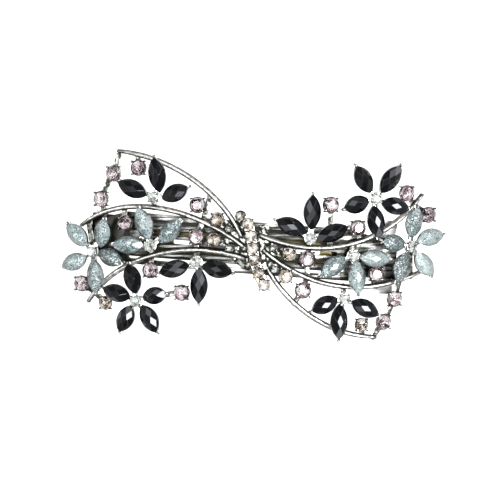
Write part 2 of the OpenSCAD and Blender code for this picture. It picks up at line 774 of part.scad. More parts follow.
module tension_spring() {
    root_z = axis_z + sqrt(pow(bend_r - plate_t, 2) - rivet_u * rivet_u) - spring_gap;
    color("darkgoldenrod") in_clip() difference() {
        translate([-rivet_u, 0, root_z]) rotate([0, spring_open, 0]) translate([rivet_u, 0, -root_z])
            intersection() {
                translate([0, 0, root_z - sqrt(spring_r * spring_r - rivet_u * rivet_u)])
                    rotate([90, 0, 0]) difference() {
                        cylinder(r = spring_r, h = far, center = true, $fn = 180);
                        cylinder(r = spring_r - spring_t, h = far + 1, center = true, $fn = 180);
                    }
                linear_extrude(far) difference() {
                    translate([-rivet_u - spring_margin, -spring_w / 2])
                        square([rivet_u + spring_margin + spring_end_u, spring_w]);
                    slot2d([8 - rivet_u, 0], [spring_end_u - 5, 0], spring_slot_w);
                }
            }
        rivet_hole(-rivet_u, 0, 3 * pin_play);
    }
}

module spring_rivet() {
    color(steel) in_clip() rivet(-rivet_u, 0, plate_t + spring_gap + spring_t + spring_play);
}

module latch_rivets() {
    color(steel) in_clip() for (s = [-1, 1])
        rivet(tab_rivet_u, s * tab_rivet_v, plate_t + tab_gap + tab_t + 0.05);
}

// Release tab: a spring leg under the plate, a finger that drops through the arm's window with
// a barb at its foot, and a wing to pinch, drawn for the rear side
module latch_tab() {
    leg_w = 2;
    finger_w = 2.2;
    finger_t = 0.5;
    barb = 0.3;
    finger_v = window_w / 2 - finger_t - barb - 0.1;
    low = -plate_t - tab_gap - tab_t;
    high = -plate_t - tab_gap;
    foot_z = hinge_z - arm_t / 2 - 0.75;
    color(steel) in_clip() {
        difference() {
            bent_sheet(low, high) {
                slot2d([tab_rivet_u, tab_rivet_v], [wing_u, tab_rivet_v], leg_w);
                polygon([[wing_u - 3, tab_rivet_v], [wing_u - 2, wing_reach - 1.2],
                         [wing_u - 1.2, wing_reach], [wing_u + 2, wing_reach],
                         [wing_u + 2.7, wing_reach - 0.8], [wing_u + 2, tab_rivet_v]]);
            }
            rivet_hole(tab_rivet_u, tab_rivet_v);
        }
        intersection() {
            union() {
                translate([finger_u - finger_w / 2, finger_v, foot_z])
                    cube([finger_w, finger_t, far / 10]);
                translate([finger_u - finger_w / 2, finger_v, foot_z])
                    cube([finger_w, finger_t + barb, 0.5]);
            }
            bend_layer(-far / 10, high - tab_t / 2);
        }
    }
}

module latch_tab_rear() { latch_tab(); }

module latch_tab_front() {
    in_clip() mirror([0, 1, 0]) translate([0, -clip_shift, 0]) rotate([0, 0, -clip_turn]) latch_tab();
}

base_plate();
hinge_pin();
clasp_arm();
tension_spring();
spring_rivet();
latch_tab_rear();
latch_tab_front();
latch_rivets();
centre_saddle();
braces_left();
braces_right();
rib_left_outer();
rib_left_middle();
rib_left_inner();
rib_right_outer();
rib_right_middle();
rib_right_inner();
tray_left_top();
tray_left_mid();
tray_left_end();
tray_left_bottom();
tray_left_inner();
tray_right_top();
tray_right_mid();
tray_right_end();
tray_right_bottom();
tray_right_inner();
petals_left_top();
petals_left_mid();
petals_left_end();
petals_left_bottom();
petals_left_inner();
petals_right_top();
petals_right_mid();
petals_right_end();
petals_right_bottom();
petals_right_inner();
heart_stones_left();
heart_stones_right();
claw_cups_left();
claw_cups_right();
pink_stones_left();
pink_stones_right();
champagne_stones_left();
champagne_stones_right();
smoke_cups();
smoke_stones();
knot_band();
knot_cups();
knot_stones();
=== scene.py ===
"""Looks of a bow barrette: a French clip under six silver ribs, ten stone flowers,
claw-set round stones and a stone knot.

Each class below is one sub-assembly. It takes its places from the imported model, builds its
pieces in metres in the same frame, and dresses them with its finishes.
"""

import logging
import math
import random
from dataclasses import dataclass, field
from enum import Enum

import bmesh
import bpy
from mathutils import Matrix, Vector


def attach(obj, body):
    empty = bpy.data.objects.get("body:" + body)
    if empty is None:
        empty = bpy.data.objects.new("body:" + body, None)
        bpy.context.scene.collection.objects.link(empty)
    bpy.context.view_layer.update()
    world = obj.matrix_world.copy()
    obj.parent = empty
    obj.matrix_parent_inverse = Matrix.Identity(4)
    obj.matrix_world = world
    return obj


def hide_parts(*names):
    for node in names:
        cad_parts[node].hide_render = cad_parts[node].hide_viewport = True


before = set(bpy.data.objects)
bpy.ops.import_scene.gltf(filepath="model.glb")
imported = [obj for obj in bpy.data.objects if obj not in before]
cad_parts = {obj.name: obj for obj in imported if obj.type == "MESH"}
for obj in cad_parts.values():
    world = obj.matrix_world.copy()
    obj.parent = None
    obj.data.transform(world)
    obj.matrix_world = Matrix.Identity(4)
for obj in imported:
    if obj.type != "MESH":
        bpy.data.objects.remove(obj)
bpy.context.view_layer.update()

MM = 0.001
MERGE = 2e-6
FLAT = math.radians(0.6)
BASE_BODY = "clip_base"
log = logging.getLogger("barrette")


# ------------------------------------------------------------------ mesh helpers


def cad_copy(node: str) -> bmesh.types.BMesh:
    """Copies a CAD node's mesh and merges its doubled corners.

    Args:
        node: the name of a CAD node.

    Returns:
        A new bmesh in the row frame.
    """
    bm = bmesh.new()
    bm.from_mesh(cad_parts[node].data)
    bmesh.ops.remove_doubles(bm, verts=bm.verts, dist=MERGE)
    return bm


def islands(bm: bmesh.types.BMesh) -> list[list[bmesh.types.BMVert]]:
    """Groups the vertices of a bmesh into connected solids.

    Args:
        bm: a mesh whose corners are merged.

    Returns:
        One list of vertices for each solid.
    """
    seen: set[bmesh.types.BMVert] = set()
    groups = []
    for start in bm.verts:
        if start in seen:
            continue
        seen.add(start)
        group, reach = [], [start]
        while reach:
            vert = reach.pop()
            group.append(vert)
            for edge in vert.link_edges:
                other = edge.other_vert(vert)
                if other not in seen:
                    seen.add(other)
                    reach.append(other)
        groups.append(group)
    return groups


def soften_edges(bm: bmesh.types.BMesh, angle: float, width: float, segments: int) -> None:
    """Joins flat faces and rounds the edges that are sharper than an angle.

    Args:
        bm: the mesh to work on.
        angle: smallest turn in degrees that counts as an edge.
        width: width of the rounding in metres.
        segments: number of faces across the rounding.
    """
    bmesh.ops.dissolve_limit(bm, angle_limit=FLAT, verts=bm.verts, edges=bm.edges)
    limit = math.radians(angle)
    sharp = [e for e in bm.edges if len(e.link_faces) == 2 and e.calc_face_angle(0.0) > limit]
    bmesh.ops.bevel(
        bm,
        geom=sharp,
        offset=width,
        offset_type="OFFSET",
        segments=segments,
        profile=0.5,
        affect="EDGES",
        clamp_overlap=True,
        material=-1,
    )


def note_crown(bm: bmesh.types.BMesh, by_face: bool = False) -> None:
    """Notes on a mesh how squarely each place looks up, as `crown` from 0 to 1.

    A surface that looks down counts for two thirds of one that looks up.

    Args:
        bm: the mesh to note it on.
        by_face: one value for each flat face, rather than one for each corner.
    """
    bm.normal_update()
    # The finishes paint highlight and shade from this value.
    parts = bm.faces if by_face else bm.verts
    layer = parts.layers.float.new("crown")
    for part in parts:
        part[layer] = max(part.normal.z, -0.66 * part.normal.z)


def finish_mesh(
    bm: bmesh.types.BMesh, name: str, smooth_angle: float | None = 30.0
) -> bpy.types.Object:
    """Turns a bmesh into an object at the origin.

    Args:
        bm: the finished mesh, which is freed.
        name: the piece's name.
        smooth_angle: faces that meet at less than this many degrees shade as one surface;
            None leaves every face flat.

    Returns:
        The new object, linked to the scene.
    """
    mesh = bpy.data.meshes.new(name)
    bm.to_mesh(mesh)
    bm.free()
    if smooth_angle is not None:
        mesh.polygons.foreach_set("use_smooth", [True] * len(mesh.polygons))
        mesh.set_sharp_from_angle(angle=math.radians(smooth_angle))
    obj = bpy.data.objects.new(name, mesh)
    bpy.context.scene.collection.objects.link(obj)
    return obj


def stand(obj: bpy.types.Object, body: str, slot: str, *nodes: str) -> None:
    """Puts a piece on its body, hides the CAD nodes that it stands for and logs its face count."""
    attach(obj, body)
    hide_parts(*nodes)
    log.info("%s: %d faces on %s", obj.name, len(obj.data.polygons), body)


# ------------------------------------------------------------------ finishes


def fill_ramp(node: bpy.types.Node, stops: list[tuple[float, tuple[float, ...]]]) -> None:
    """Gives a colour ramp its stops, each a position with its colour as r, g, b."""
    elements = node.color_ramp.elements
    while len(elements) < len(stops):
        elements.new(0.5)
    for element, (position, colour) in zip(elements, stops):
        element.position = position
        element.color = (*colour, 1.0)


class Weave:
    """A material's node tree, with short calls to add and join nodes."""

    def __init__(self, name: str) -> None:
        """Starts an empty material that reads object coordinates."""
        self.material = bpy.data.materials.new(name)
        self.material.use_nodes = True
        self.tree = self.material.node_tree
        self.tree.nodes.clear()
        self.place = self.add("ShaderNodeTexCoord").outputs["Object"]

    def add(self, kind: str, **values: object) -> bpy.types.Node:
        """Adds a node.

        Args:
            kind: the node's type.
            **values: socket names, with _ for a space, and their values or source sockets.

        Returns:
            The new node.
        """
        node = self.tree.nodes.new(kind)
        for key, value in values.items():
            self.feed(node.inputs[key.replace("_", " ")], value)
        return node

    def feed(self, target: bpy.types.NodeSocket, value: object) -> None:
        """Gives a socket a value, or a link when the value is another node's socket."""
        if isinstance(value, bpy.types.NodeSocket):
            self.tree.links.new(value, target)
        else:
            target.default_value = value

    def math(
        self, operation: str, a: object, b: object = 0.0, clamp: bool = True
    ) -> bpy.types.NodeSocket:
        """Result of a math node on two numbers or sockets, kept within 0 and 1 by clamp."""
        node = self.tree.nodes.new("ShaderNodeMath")
        node.operation = operation
        node.use_clamp = clamp
        self.feed(node.inputs[0], a)
        self.feed(node.inputs[1], b)
        return node.outputs[0]

    def vector(self, operation: str, a: object, b: object = None) -> bpy.types.NodeSocket:
        """Result of a vector node on one or two vectors; SCALE takes a number as its second."""
        node = self.tree.nodes.new("ShaderNodeVectorMath")
        node.operation = operation
        self.feed(node.inputs[0], a)
        if b is not None:
            self.feed(node.inputs["Scale" if operation == "SCALE" else 1], b)
        return node.outputs[0]

    def noise(self, scale: float, detail: float) -> bpy.types.NodeSocket:
        """Noise value at a scale in cells per metre."""
        node = self.add(
            "ShaderNodeTexNoise", Vector=self.place, Scale=scale, Detail=detail, Roughness=0.55
        )
        return node.outputs["Fac"]

    def cells(self, scale: float) -> bpy.types.NodeSocket:
        """Random colour of each cell of a mosaic, at a scale in cells per metre."""
        node = self.add("ShaderNodeTexVoronoi", Vector=self.place, Scale=scale)
        return node.outputs["Color"]

    def attribute(self, name: str) -> bpy.types.NodeSocket:
        """Value noted on the mesh under a name."""
        node = self.tree.nodes.new("ShaderNodeAttribute")
        node.attribute_name = name
        return node.outputs["Fac"]

    def between(self, value: bpy.types.NodeSocket, low: float, high: float) -> bpy.types.NodeSocket:
        """How far a value has come from low to high, kept within 0 and 1."""
        return self.math("DIVIDE", self.math("SUBTRACT", value, low, False), high - low)

    def ramp(
        self, value: bpy.types.NodeSocket, stops: list[tuple[float, tuple[float, ...]]]
    ) -> bpy.types.NodeSocket:
        """Colour of a ramp at a value.

        Args:
            value: the socket that drives the ramp.
            stops: positions with their colours as r, g, b.

        Returns:
            The ramp's colour socket.
        """
        node = self.tree.nodes.new("ShaderNodeValToRGB")
        self.feed(node.inputs["Fac"], value)
        fill_ramp(node, stops)
        return node.outputs["Color"]

    def blend(self, share: bpy.types.NodeSocket, a: object, b: object) -> bpy.types.NodeSocket:
        """Colour between a and b, each r, g, b or a socket, by a share from 0 to 1."""
        node = self.tree.nodes.new("ShaderNodeMix")
        node.data_type = "RGBA"
        self.feed(node.inputs[0], share)
        for index, value in ((6, a), (7, b)):
            self.feed(node.inputs[index], (*value, 1.0) if isinstance(value, tuple) else value)
        return node.outputs[2]

    def bump(
        self, height: bpy.types.NodeSocket, strength: float, depth: float
    ) -> bpy.types.NodeSocket:
        """Normal of a bump whose full height is depth metres."""
        node = self.add("ShaderNodeBump", Strength=strength, Distance=depth, Height=height)
        return node.outputs["Normal"]

    def recess(self, reach: float) -> bpy.types.NodeSocket:
        """Openness of a place, from 0 in a recess to 1 in the open."""
        node = self.add("ShaderNodeAmbientOcclusion", Distance=reach)
        node.samples = 6
        return node.outputs["AO"]

    def surface(self, **values: object) -> bpy.types.Node:
        """Principled shader on the material's output, with the given sockets."""
        shader = self.add("ShaderNodeBsdfPrincipled", **values)
        output = self.tree.nodes.new("ShaderNodeOutputMaterial")
        self.tree.links.new(shader.outputs[0], output.inputs["Surface"])
        return shader


@dataclass(frozen=True)
class AntiqueSilver:
    """Silver plate, polished and with a painted highlight where it looks out, and painted shade on
    its sides.
    """

    name: str
    polish: float = 0.1
    edge: tuple[float, float] = (0.45, 0.75)
    tarnish: float = 0.3
    bright: tuple[float, float, float] = (0.94, 0.93, 0.9)
    dark: tuple[float, float, float] = (0.03, 0.03, 0.023)
    reach: float = 0.5 * MM

    def make(self) -> bpy.types.Material:
        """Builds the material."""
        w = Weave(self.name)
        patches = w.math("SUBTRACT", w.noise(1300.0, 4.0), 0.5, False)
        stain = w.math("MULTIPLY", patches, self.tarnish, False)
        # Painted highlight and shade: bright where the surface faces up, dark where it turns away;
        # tarnish patches shift it at random.
        crown = w.between(w.math("ADD", w.attribute("crown"), stain, False), *self.edge)
        # Darker in recesses: oxide in the hollows, and painted shade between parts.
        polish_and_painted_light = w.math("MULTIPLY", crown, w.between(w.recess(self.reach), 0.1, 0.7))
        middle = tuple(0.3 * b + 0.4 * d for b, d in zip(self.bright, self.dark))
        colour = w.ramp(polish_and_painted_light, [(0.05, self.dark), (0.5, middle), (0.9, self.bright)])
        rough = w.math("SUBTRACT", self.polish + 0.3, w.math("MULTIPLY", polish_and_painted_light, 0.3))
        w.surface(
            Base_Color=colour,
            Metallic=1.0,
            Roughness=rough,
            Normal=w.bump(w.noise(9000.0, 2.0), 0.2, 0.008 * MM),
        )
        return w.material


@dataclass(frozen=True)
class RolledSteel:
    """Plated spring steel, drawn along the clip, with fine lines, dull spots and painted shade."""

    name: str
    colour: tuple[float, float, float] = (0.86, 0.86, 0.84)
    worn_and_shaded: tuple[float, float, float] = (0.045, 0.045, 0.035)
    polish: float = 0.2
    upper_shade: float = 0.0
    reach: float = 0.7 * MM
    open_from: tuple[float, float] = (0.15, 0.75)
    streak: float = 0.3
    bright_from: tuple[float, float] = (-1.0, -0.9)

    def make(self) -> bpy.types.Material:
        """Builds the material.

        Its upper face gets painted shade by the share given for it. Along x it is painted black as
        shade before the first value of `bright_from` and unshaded past the second.
        """
        w = Weave(self.name)
        lines = self._drawn(w, (150.0, 9000.0, 9000.0))
        bands = w.between(self._drawn(w, (60.0, 1400.0, 300.0)), 0.42, 0.56)
        spots = w.noise(420.0, 4.0)
        crown = w.attribute("crown")
        # Painted shade: sides that turn away from up are darker.
        flat = w.between(crown, 0.3, 0.62)
        # Painted shade on faces that look up, by the share given for it.
        inner = w.math("MULTIPLY", w.between(crown, 0.75, 0.95), self.upper_shade)
        sides = w.math("ADD", 0.38, w.math("MULTIPLY", flat, 0.62))
        # Painted shade along x: black at one end, fading out over the span `bright_from`.
        split = w.add("ShaderNodeSeparateXYZ", Vector=w.place)
        unshaded = w.between(split.outputs["X"], *self.bright_from)
        unshaded = w.math("ADD", 0.04, w.math("MULTIPLY", unshaded, 0.96))
        level = w.math("MULTIPLY", sides, w.math("SUBTRACT", 1.0, inner))
        level = w.math("MULTIPLY", level, unshaded)
        # Painted shade where other parts lie within reach over it.
        open_share = w.between(w.recess(self.reach), *self.open_from)
        mottle = w.math("ADD", 0.65 - self.streak, w.math("MULTIPLY", spots, 0.6), False)
        mottle = w.math("ADD", mottle, w.math("MULTIPLY", bands, self.streak), False)
        shade = w.math("MULTIPLY", w.math("MULTIPLY", level, open_share), mottle)
        middle = tuple(0.4 * c for c in self.colour)
        colour = w.ramp(shade, [(0.05, self.worn_and_shaded), (0.5, middle), (0.9, self.colour)])
        rough = w.math("ADD", self.polish, w.math("MULTIPLY", spots, 0.2))
        w.surface(
            Base_Color=colour,
            Metallic=1.0,
            Roughness=rough,
            Normal=w.bump(lines, 0.35, 0.012 * MM),
        )
        return w.material

    @staticmethod
    def _drawn(w: Weave, scale: tuple[float, float, float]) -> bpy.types.NodeSocket:
        """Noise drawn out along the clip, finer across it."""
        stretch = w.add("ShaderNodeMapping", Vector=w.place, Scale=scale)
        stretch.inputs["Rotation"].default_value = (0.0, 0.0, math.radians(4.5))
        noise = w.add("ShaderNodeTexNoise", Vector=stretch.outputs[0], Scale=1.0, Detail=3.0)
        return noise.outputs["Fac"]


@dataclass(frozen=True)
class JetStone:
    """Black polished stone whose facets are very slightly wavy."""

    name: str
    colour: tuple[float, float, float] = (0.0018, 0.002, 0.0024)

    def make(self) -> bpy.types.Material:
        """Builds the material."""
        w = Weave(self.name)
        cloud = w.noise(500.0, 2.0)
        tone = w.blend(cloud, self.colour, tuple(2.0 * c for c in self.colour))
        haze = w.math("ADD", 0.02, w.math("MULTIPLY", w.noise(2600.0, 3.0), 0.05))
        w.surface(
            Base_Color=tone,
            Roughness=haze,
            IOR=1.5,
            Specular_IOR_Level=0.4,
            Specular_Tint=(0.9, 0.94, 1.0, 1.0),
            Normal=w.bump(w.noise(420.0, 1.0), 0.25, 0.01 * MM),
        )
        return w.material


@dataclass(frozen=True)
class GlitterResin:
    """Cloudy grey-green resin with flakes of silver glitter under a clear skin.

    A petal's `tone` runs from slate at 0 to nearly white at 1, and its rim has painted shade.
    """

    name: str
    slate: tuple[float, float, float] = (0.013, 0.025, 0.029)
    middle: tuple[float, float, float] = (0.056, 0.092, 0.099)
    pale: tuple[float, float, float] = (0.26, 0.325, 0.325)
    flake: tuple[float, float, float] = (0.48, 0.54, 0.54)
    flakes_per_metre: float = 5200.0

    def make(self) -> bpy.types.Material:
        """Builds the material."""
        w = Weave(self.name)
        cells = w.cells(self.flakes_per_metre)
        split = w.add("ShaderNodeSeparateColor", Color=cells)
        tone = w.attribute("tone")
        speckle = w.math("SUBTRACT", split.outputs[1], 0.5, False)
        cloud = w.math("SUBTRACT", w.noise(650.0, 3.0), 0.5, False)
        cloudy = w.math("MULTIPLY", cloud, 1.3, False)
        grain = w.math("ADD", w.math("MULTIPLY", speckle, 0.65, False), cloudy, False)
        body = w.ramp(
            w.math("ADD", tone, grain),
            [(0.0, self.slate), (0.45, self.middle), (0.95, self.pale)],
        )
        flake = w.between(split.outputs[0], 0.72, 0.82)
        colour = w.blend(flake, body, self.flake)
        # Painted shade on the rim, where the surface turns away from up.
        rim = w.between(w.attribute("crown"), 0.4, 0.86)
        colour = w.blend(rim, tuple(0.6 * c for c in self.slate), colour)
        w.surface(
            Base_Color=colour,
            Roughness=0.3,
            Metallic=w.math("MULTIPLY", flake, 0.5),
            Normal=self._tilted(w, cells),
            Coat_Weight=0.7,
            Coat_Roughness=0.06,
        )
        return w.material

    @staticmethod
    def _tilted(w: Weave, cells: bpy.types.NodeSocket) -> bpy.types.NodeSocket:
        """Normal that leans a different way in each flake."""
        lean = w.vector("SCALE", w.vector("SUBTRACT", cells, (0.5, 0.5, 0.5)), 0.6)
        straight = w.add("ShaderNodeNewGeometry").outputs["Normal"]
        return w.vector("NORMALIZE", w.vector("ADD", lean, straight))


@dataclass(frozen=True)
class CutCrystal:
    """Clear tinted glass of a cut stone's crown."""

    name: str
    tint: tuple[float, float, float]

    def make(self) -> bpy.types.Material:
        """Builds the material."""
        w = Weave(self.name)
        haze = w.math("MULTIPLY", w.noise(3000.0, 2.0), 0.03)
        w.surface(
            Base_Color=(*self.tint, 1.0),
            Roughness=haze,
            IOR=1.56,
            Transmission_Weight=1.0,
        )
        return w.material


@dataclass(frozen=True)
class StoneFoil:
    """Foil on the back of a cut stone, whose facets carry painted glints and dark reflections.

    Random values below `dark_share` are painted dark, those above `bright_share` bright, the rest
    tinted.
    """

    name: str
    bright: tuple[float, float, float]
    tinted: tuple[float, float, float]
    dark: tuple[float, float, float]
    dark_share: float
    bright_share: float = 0.54
    cells_per_metre: float = 2300.0

    def make(self) -> bpy.types.Material:
        """Builds the material."""
        w = Weave(self.name)
        split = w.add("ShaderNodeSeparateColor", Color=w.cells(self.cells_per_metre))
        # Painted glints and dark reflections: a random value on each facet, mixed with random
        # patches.
        facet = w.math("MULTIPLY", w.attribute("painted_glint"), 0.5)
        painted_glint = w.math("ADD", facet, w.math("MULTIPLY", split.outputs[0], 0.5))
        stops = [
            (self.dark_share - 0.03, self.dark),
            (self.dark_share + 0.03, self.tinted),
            (self.bright_share - 0.02, self.tinted),
            (self.bright_share + 0.02, self.bright),
        ]
        colour = w.ramp(painted_glint, stops)
        w.surface(Base_Color=colour, Metallic=0.05, Roughness=0.2)
        return w.material


# ------------------------------------------------------------------ stones and their cups


@dataclass(frozen=True)
class Seat:
    """Where a round stone sits: the middle of its table, its axis and its sizes in metres."""

    table: Vector
    axis: Vector
    width: float
    height: float

    def matrix(self, turn: float, scale: float = 1.0) -> Matrix:
        """Frame with z along the axis and its origin under the table at the stone's point.

        Args:
            turn: rotation about the axis, in radians.
            scale: uniform scale of what is placed there.

        Returns:
            The transform from the seat's own frame to the row frame.
        """
        across = Vector((1.0, 0.0, 0.0))
        across = (across - self.axis * across.dot(self.axis)).normalized()
        along = self.axis.cross(across)
        basis = Matrix((across, along, self.axis)).transposed().to_4x4()
        point = self.table - self.axis * self.height
        return (
            Matrix.Translation(point)
            @ basis
            @ Matrix.Rotation(turn, 4, "Z")
            @ Matrix.Scale(scale, 4)
        )


def stone_seats(node: str) -> list[Seat]:
    """Finds the seats of the round stones of a CAD node.

    Args:
        node: the name of a node whose solids are round stones.

    Returns:
        One seat for each stone, from left to right.
    """
    bm = cad_copy(node)
    bmesh.ops.dissolve_limit(bm, angle_limit=FLAT, verts=bm.verts, edges=bm.edges)
    seats = []
    for group in islands(bm):
        faces = {f for v in group for f in v.link_faces}
        table = max(faces, key=lambda f: f.calc_area())
        middle, axis = table.calc_center_median(), table.normal.normalized()
        depths = [(middle - v.co).dot(axis) for v in group]
        radii = [((v.co - middle) - axis * (v.co - middle).dot(axis)).length for v in group]
        seats.append(Seat(middle, axis.copy(), 2.0 * max(radii), max(depths)))
    bm.free()
    return sorted(seats, key=lambda s: (s.table.x, s.table.y))


def slice_off(bm: bmesh.types.BMesh, point: Vector, normal: Vector) -> None:
    """Cuts away what lies beyond a plane and closes the cut with one face."""
    geom = [*bm.verts, *bm.edges, *bm.faces]
    cut = bmesh.ops.bisect_plane(
        bm, geom=geom, dist=1e-6, plane_co=point, plane_no=normal, clear_outer=True
    )
    edges = [g for g in cut["geom_cut"] if isinstance(g, bmesh.types.BMEdge)]
    if edges:
        bmesh.ops.contextual_create(bm, geom=edges)


def add_copy(bm: bmesh.types.BMesh, template: bpy.types.Mesh, matrix: Matrix) -> None:
    """Adds a transformed copy of a template mesh to a bmesh."""
    first = len(bm.verts)
    bm.from_mesh(template)
    bm.verts.ensure_lookup_table()
    bmesh.ops.transform(bm, matrix=matrix, verts=bm.verts[first:])


def drawn_wire(
    bm: bmesh.types.BMesh, path: list[Vector], radii: list[float], sides: int = 10
) -> None:
    """Draws a round wire along a path that lies in a plane through the z axis.

    Args:
        bm: the mesh that the wire is added to.
        path: points of the wire's centre line.
        radii: the wire's radius at each point.
        sides: number of faces round the wire.
    """
    frames = []
    for i, point in enumerate(path):
        before, after = path[max(i - 1, 0)], path[min(i + 1, len(path) - 1)]
        run = (after - before).normalized()
        turn = run.to_track_quat("Z", "Y").to_matrix().to_4x4()
        frames.append(Matrix.Translation(point) @ turn @ Matrix.Scale(radii[i], 4))
    made = bmesh.ops.create_circle(
        bm, cap_ends=True, segments=sides, radius=1.0, matrix=frames[0]
    )
    face = next(iter(made["verts"][0].link_faces))
    for last, this in zip(frames, frames[1:]):
        grown = bmesh.ops.extrude_face_region(bm, geom=[face])["geom"]
        face = next(g for g in grown if isinstance(g, bmesh.types.BMFace))
        bmesh.ops.transform(
            bm, matrix=this @ last.inverted(), verts=list(face.verts)
        )


@dataclass(frozen=True)
class ChatonCut:
    """Cut of a round stone, as shares of its width.

    A table, eight mains, eight stars and sixteen girdle facets stand over a foiled back of
    sixteen long facets and eight at the point.
    """

    radius: float = 0.495
    crown: float = 0.22
    girdle: float = 0.06
    back: float = 0.24
    culet: float = 0.1
    table: float = 0.5
    main_lift: float = 0.012
    star_out: float = 0.275
    star_slope: float = 0.62
    girdle_slope: float = 1.14
    back_slope: float = 1.25
    point_out: float = 0.3
    point_up: float = 0.42
    point_slope: float = 0.8

    @property
    def height(self) -> float:
        """Height of the whole stone."""
        return self.back + self.girdle + self.crown

    def template(self) -> bpy.types.Mesh:
        """Builds one stone a unit wide, with its back's point at the origin.

        Returns:
            A mesh whose crown has material 0 and whose back has material 1.
        """
        bm = bmesh.new()
        bmesh.ops.create_cone(
            bm,
            cap_ends=True,
            segments=32,
            radius1=self.radius,
            radius2=self.radius,
            depth=self.height,
            matrix=Matrix.Translation((0, 0, self.height / 2)),
        )
        top = self.back + self.girdle
        main = math.atan2(self.crown, self.radius - self.table / 2)
        for i in range(8):
            self._facet(bm, 45.0 * i, self.radius, top + self.main_lift, main)
            self._facet(bm, 45.0 * i + 22.5, self.star_out, self.height, main * self.star_slope)
        for i in range(16):
            self._facet(bm, 22.5 * i + 11.25, self.radius, top, main * self.girdle_slope)
        slope = math.atan2(self.back, self.radius - self.culet)
        long, short = math.pi - slope * self.back_slope, math.pi - slope * self.point_slope
        for i in range(16):
            self._facet(bm, 22.5 * i, self.radius, self.back, long)
        for i in range(8):
            self._facet(bm, 45.0 * i + 22.5, self.point_out, self.back * self.point_up, short)
        for face in bm.faces:
            face.material_index = 1 if face.normal.z < 0.1 else 0
        mesh = bpy.data.meshes.new("chaton")
        bm.to_mesh(mesh)
        bm.free()
        return mesh

    @staticmethod
    def _facet(bm: bmesh.types.BMesh, turn: float, out: float, up: float, slope: float) -> None:
        """Cuts one facet through a point at a distance out and a height up."""
        angle = math.radians(turn)
        away = Vector((math.cos(angle), math.sin(angle), 0.0))
        normal = away * math.sin(slope) + Vector((0, 0, math.cos(slope)))
        slice_off(bm, away * out + Vector((0, 0, up)), normal)


@dataclass
class RoundStones:
    """The round stones of one CAD node, each a cut crown over a foiled back."""

    node: str
    slot: str
    crystal: bpy.types.Material
    foil: bpy.types.Material
    seed: int
    cut: ChatonCut = field(default_factory=ChatonCut)
    lean: float = 4.0
    pivot: float = 0.4

    def build(self) -> None:
        """Cuts one stone and sets a copy, turned and leaned by chance, in every seat."""
        chance = random.Random(self.seed)
        template = self.cut.template()
        bm = bmesh.new()
        for seat in stone_seats(self.node):
            fit = min(seat.width, seat.height / self.cut.height)
            lift = seat.height - self.cut.height * fit
            tip = Matrix.Rotation(math.radians(chance.uniform(-self.lean, self.lean)), 4, "X")
            place = seat.matrix(chance.uniform(0.0, math.tau))
            middle = Matrix.Translation((0, 0, lift + self.pivot * fit))
            back = Matrix.Translation((0, 0, -self.pivot * fit))
            add_copy(bm, template, place @ middle @ tip @ back @ Matrix.Scale(fit, 4))
        # A random value on each facet drives the foil's painted glints and dark reflections.
        painted_glint = bm.faces.layers.float.new("painted_glint")
        for face in bm.faces:
            face[painted_glint] = chance.random()
        obj = finish_mesh(bm, f"cut_{self.node}", None)
        obj.data.materials.append(self.crystal)
        obj.data.materials.append(self.foil)
        stand(obj, BASE_BODY, self.slot, self.node)


